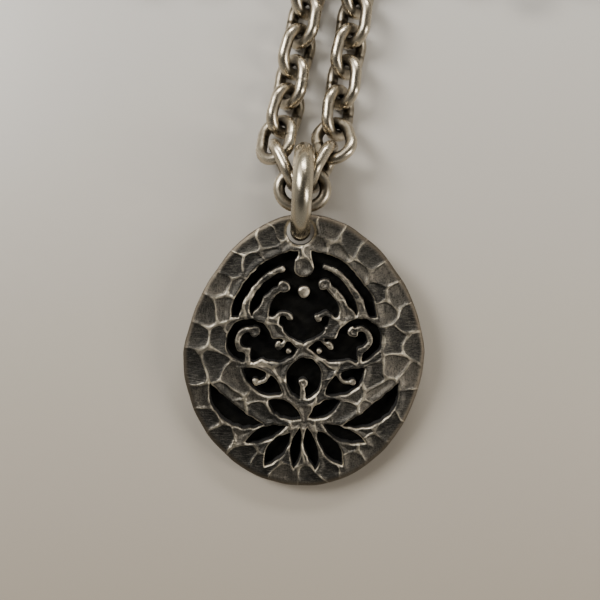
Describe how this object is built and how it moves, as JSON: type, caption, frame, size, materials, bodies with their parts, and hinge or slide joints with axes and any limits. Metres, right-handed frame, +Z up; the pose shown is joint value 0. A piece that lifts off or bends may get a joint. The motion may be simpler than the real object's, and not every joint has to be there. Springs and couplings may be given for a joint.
{
  "type": "pendant necklace",
  "caption": "Oval pierced and hammered silver pendant on a round ring bail, hung on a heavy oval cable chain with a lobster clasp, laid flat with its clasp open and the chain's ends coiled.",
  "frame": {"origin": "centre of the base of the whole piece as it lies on a table, z = 0 on the table", "axes": "+Z up, +Y along the pendant's height towards the bail and the chain, +X to the right seen from above"},
  "size_m": [0.0762, 0.1014, 0.0121],
  "materials": {
    "dark_silver": "hammered and oxidised silver, ridges rubbed bright",
    "black_silver": "matt blackened silver",
    "worn_silver": "worn silver",
    "bail_silver": "soft polish with dents",
    "chain_silver": "worn polish, dark in the hollows",
    "clasp_silver": "worn polish"
  },
  "bodies": {
    "center_link": {"center_link": "chain_silver"},
    "bail": {"bail_ring": "bail_silver"},
    "pendant": {"front_plate": "dark_silver", "face_beads": "worn_silver", "back_plate": "black_silver"},
    "left_link_1": {"left_link_1": "chain_silver"},
    "left_link_2": {"left_link_2": "chain_silver"},
    "left_link_3": {"left_link_3": "chain_silver"},
    "left_link_4": {"left_link_4": "chain_silver"},
    "left_link_5": {"left_link_5": "chain_silver"},
    "left_link_6": {"left_link_6": "chain_silver"},
    "left_link_7": {"left_link_7": "chain_silver"},
    "left_link_8": {"left_link_8": "chain_silver"},
    "left_chain_1": {"left_chain_1": "chain_silver"},
    "left_chain_2": {"left_chain_2": "chain_silver"},
    "left_chain_3": {"left_chain_3": "chain_silver"},
    "left_chain_4": {"left_chain_4": "chain_silver"},
    "left_chain_5": {"left_chain_5": "chain_silver"},
    "left_chain_6": {"left_chain_6": "chain_silver"},
    "left_chain_7": {"left_chain_7": "chain_silver"},
    "left_chain_8": {"left_chain_8": "chain_silver"},
    "left_chain_9": {"left_chain_9": "chain_silver"},
    "right_link_1": {"right_link_1": "chain_silver"},
    "right_link_2": {"right_link_2": "chain_silver"},
    "right_link_3": {"right_link_3": "chain_silver"},
    "right_link_4": {"right_link_4": "chain_silver"},
    "right_link_5": {"right_link_5": "chain_silver"},
    "right_link_6": {"right_link_6": "chain_silver"},
    "right_link_7": {"right_link_7": "chain_silver"},
    "right_link_8": {"right_link_8": "chain_silver"},
    "right_chain_1": {"right_chain_1": "chain_silver"},
    "right_chain_2": {"right_chain_2": "chain_silver"},
    "right_chain_3": {"right_chain_3": "chain_silver"},
    "right_chain_4": {"right_chain_4": "chain_silver"},
    "right_chain_5": {"right_chain_5": "chain_silver"},
    "right_chain_6": {"right_chain_6": "chain_silver"},
    "right_chain_7": {"right_chain_7": "chain_silver"},
    "right_chain_8": {"right_chain_8": "chain_silver"},
    "right_chain_9": {"right_chain_9": "chain_silver"},
    "jump_ring": {"jump_ring": "chain_silver"},
    "clasp": {"clasp_body": "clasp_silver", "clasp_pin": "clasp_silver", "clasp_spring": "clasp_silver"},
    "clasp_lever": {"clasp_lever": "clasp_silver"},
    "end_ring": {"end_ring": "chain_silver"}
  },
  "joints": [
    {"name": "bail_spin", "type": "hinge", "parent": "center_link", "child": "bail", "pos_m": [-0.00769, -0.01396, 0.00605], "axis": [0.9986, -0.0523, 0], "continuous": true},
    {"name": "pendant_swing", "type": "hinge", "parent": "center_link", "child": "pendant", "pos_m": [-0.00769, -0.01396, 0.00605], "axis": [0.9986, -0.0523, 0], "range_deg": [-45, 60]},
    {"name": "left_link_1_turn", "type": "hinge", "parent": "center_link", "child": "left_link_1", "pos_m": [-0.00983, -0.01198, 0.0055], "axis": [0.7212, 0.6927, 0], "range_deg": [-12, 18]},
    {"name": "left_link_2_turn", "type": "hinge", "parent": "left_link_1", "child": "left_link_2", "pos_m": [-0.01011, -0.00915, 0.00525], "axis": [0.7225, 0.6821, 0.1127], "range_deg": [-12, 18]},
    {"name": "left_link_3_turn", "type": "hinge", "parent": "left_link_2", "child": "left_link_3", "pos_m": [-0.01063, -0.00605, 0.00296], "axis": [-0.647, 0.2638, 0.7154], "range_deg": [-2, 18]},
    {"name": "left_link_4_swing", "type": "hinge", "parent": "left_link_3", "child": "left_link_4", "pos_m": [-0.00928, -0.00155, 0.00231], "axis": [0, 0, 1], "range_deg": [0, 18]},
    {"name": "left_link_5_lift", "type": "hinge", "parent": "left_link_4", "child": "left_link_5", "pos_m": [-0.00892, 0.0023, 0.00232], "axis": [0.9781, -0.2079, 0], "range_deg": [-18, 18]},
    {"name": "left_link_6_swing", "type": "hinge", "parent": "left_link_5", "child": "left_link_6", "pos_m": [-0.00783, 0.00605, 0.00232], "axis": [0, 0, 1], "range_deg": [0, 18]},
    {"name": "left_link_7_lift", "type": "hinge", "parent": "left_link_6", "child": "left_link_7", "pos_m": [-0.00732, 0.00993, 0.00232], "axis": [0.9781, -0.2079, 0], "range_deg": [-18, 18]},
    {"name": "left_link_8_swing", "type": "hinge", "parent": "left_link_7", "child": "left_link_8", "pos_m": [-0.0063, 0.0137, 0.00232], "axis": [0, 0, 1], "range_deg": [0, 18]},
    {"name": "left_chain_1_lift", "type": "hinge", "parent": "left_link_8", "child": "left_chain_1", "pos_m": [-0.00569, 0.01756, 0.00232], "axis": [0.9833, -0.1822, 0], "range_deg": [-12, 12]},
    {"name": "left_chain_2_lift", "type": "hinge", "parent": "left_chain_1", "child": "left_chain_2", "pos_m": [-0.00283, 0.03291, 0.00232], "axis": [-0.9987, -0.0508, 0], "range_deg": [-12, 12]},
    {"name": "left_chain_3_lift", "type": "hinge", "parent": "left_chain_2", "child": "left_chain_3", "pos_m": [-0.01044, 0.04609, 0.00232], "axis": [0.5434, 0.8394, 0], "range_deg": [-12, 12]},
    {"name": "left_chain_4_lift", "type": "hinge", "parent": "left_chain_3", "child": "left_chain_4", "pos_m": [-0.02559, 0.04764, 0.00232], "axis": [0.3625, -0.932, 0], "range_deg": [-12, 12]},
    {"name": "left_chain_5_lift", "type": "hinge", "parent": "left_chain_4", "child": "left_chain_5", "pos_m": [-0.03573, 0.03627, 0.00232], "axis": [-0.9695, 0.245, 0], "range_deg": [-12, 12]},
    {"name": "left_chain_6_lift", "type": "hinge", "parent": "left_chain_5", "child": "left_chain_6", "pos_m": [-0.03119, 0.02194, 0.00232], "axis": [0.6362, 0.7715, 0], "range_deg": [-12, 12]},
    {"name": "left_chain_7_lift", "type": "hinge", "parent": "left_chain_6", "child": "left_chain_7", "pos_m": [-0.01624, 0.02019, 0.00232], "axis": [0.4417, -0.8972, 0], "range_deg": [-12, 12]},
    {"name": "left_chain_8_lift", "type": "hinge", "parent": "left_chain_7", "child": "left_chain_8", "pos_m": [-0.00854, 0.03313, 0.00232], "axis": [-0.9953, -0.0971, 0], "range_deg": [-12, 12]},
    {"name": "left_chain_9_lift", "type": "hinge", "parent": "left_chain_8", "child": "left_chain_9", "pos_m": [-0.01935, 0.0431, 0.00232], "axis": [0.0156, 0.9999, 0], "range_deg": [-12, 12]},
    {"name": "right_link_1_turn", "type": "hinge", "parent": "center_link", "child": "right_link_1", "pos_m": [-0.00512, -0.0125, 0.0055], "axis": [-0.5345, 0.8452, 0], "range_deg": [-5, 3]},
    {"name": "right_link_2_turn", "type": "hinge", "parent": "right_link_1", "child": "right_link_2", "pos_m": [-0.00496, -0.00948, 0.0045], "axis": [-0.6736, 0.4967, -0.5473], "range_deg": [-2, 18]},
    {"name": "right_link_3_turn", "type": "hinge", "parent": "right_link_2", "child": "right_link_3", "pos_m": [-0.00306, -0.00489, 0.00256], "axis": [-0.8508, 0.2417, -0.4666], "range_deg": [-2, 18]},
    {"name": "right_link_4_swing", "type": "hinge", "parent": "right_link_3", "child": "right_link_4", "pos_m": [-0.00285, -0.00162, 0.00241], "axis": [0, 0, -1], "range_deg": [0, 18]},
    {"name": "right_link_5_lift", "type": "hinge", "parent": "right_link_4", "child": "right_link_5", "pos_m": [-0.00234, 0.0023, 0.00232], "axis": [0.9848, -0.1736, 0], "range_deg": [-18, 18]},
    {"name": "right_link_6_swing", "type": "hinge", "parent": "right_link_5", "child": "right_link_6", "pos_m": [-0.00138, 0.00609, 0.00232], "axis": [0, 0, -1], "range_deg": [0, 18]},
    {"name": "right_link_7_lift", "type": "hinge", "parent": "right_link_6", "child": "right_link_7", "pos_m": [-0.001, 0.00999, 0.00232], "axis": [0.9848, -0.1736, 0], "range_deg": [-18, 18]},
    {"name": "right_link_8_swing", "type": "hinge", "parent": "right_link_7", "child": "right_link_8", "pos_m": [-0.00011, 0.01379, 0.00232], "axis": [0, 0, -1], "range_deg": [0, 18]},
    {"name": "right_chain_1_lift", "type": "hinge", "parent": "right_link_8", "child": "right_chain_1", "pos_m": [0.00036, 0.01767, 0.00232], "axis": [0.989, -0.1478, 0], "range_deg": [-12, 12]},
    {"name": "right_chain_2_lift", "type": "hinge", "parent": "right_chain_1", "child": "right_chain_2", "pos_m": [0.00294, 0.03305, 0.00232], "axis": [-0.9831, 0.183, 0], "range_deg": [-12, 12]},
    {"name": "right_chain_3_lift", "type": "hinge", "parent": "right_chain_2", "child": "right_chain_3", "pos_m": [0.01086, 0.04598, 0.00232], "axis": [0.5153, -0.857, 0], "range_deg": [-12, 12]},
    {"name": "right_chain_4_lift", "type": "hinge", "parent": "right_chain_3", "child": "right_chain_4", "pos_m": [0.02605, 0.04703, 0.00232], "axis": [0.3932, 0.9195, 0], "range_deg": [-12, 12]},
    {"name": "right_chain_5_lift", "type": "hinge", "parent": "right_chain_4", "child": "right_chain_5", "pos_m": [0.03579, 0.03532, 0.00232], "axis": [-0.9756, -0.2194, 0], "range_deg": [-12, 12]},
    {"name": "right_chain_6_lift", "type": "hinge", "parent": "right_chain_5", "child": "right_chain_6", "pos_m": [0.03156, 0.02082, 0.00232], "axis": [0.665, -0.7468, 0], "range_deg": [-12, 12]},
    {"name": "right_chain_7_lift", "type": "hinge", "parent": "right_chain_6", "child": "right_chain_7", "pos_m": [0.01669, 0.01851, 0.00232], "axis": [0.4073, 0.9133, 0], "range_deg": [-12, 12]},
    {"name": "right_chain_8_lift", "type": "hinge", "parent": "right_chain_7", "child": "right_chain_8", "pos_m": [0.00847, 0.03112, 0.00232], "axis": [-1, -0.0042, 0], "range_deg": [-12, 12]},
    {"name": "right_chain_9_lift", "type": "hinge", "parent": "right_chain_8", "child": "right_chain_9", "pos_m": [0.01769, 0.04255, 0.00232], "axis": [0.1624, -0.9867, 0], "range_deg": [-12, 12]},
    {"name": "jump_ring_turn", "type": "hinge", "parent": "left_chain_9", "child": "jump_ring", "pos_m": [-0.02966, 0.03652, 0.00232], "axis": [0.676, -0.5413, 0.5], "range_deg": [-10, 25]},
    {"name": "clasp_swing", "type": "hinge", "parent": "jump_ring", "child": "clasp", "pos_m": [-0.03115, 0.03413, 0.00175], "axis": [0, 0, 1], "range_deg": [-12, 12]},
    {"name": "lever_press", "type": "hinge", "parent": "clasp", "child": "clasp_lever", "pos_m": [-0.02792, 0.03225, 0.00175], "axis": [0, 0, 1], "range_deg": [-20, 0], "stiffness_Nm_per_rad": 0.0001, "springref_deg": 11.46},
    {"name": "end_ring_turn", "type": "hinge", "parent": "right_chain_9", "child": "end_ring", "pos_m": [0.02885, 0.03756, 0.00232], "axis": [0.4552, 0.4905, 0.7431], "range_deg": [-30, 30]}
  ]
}
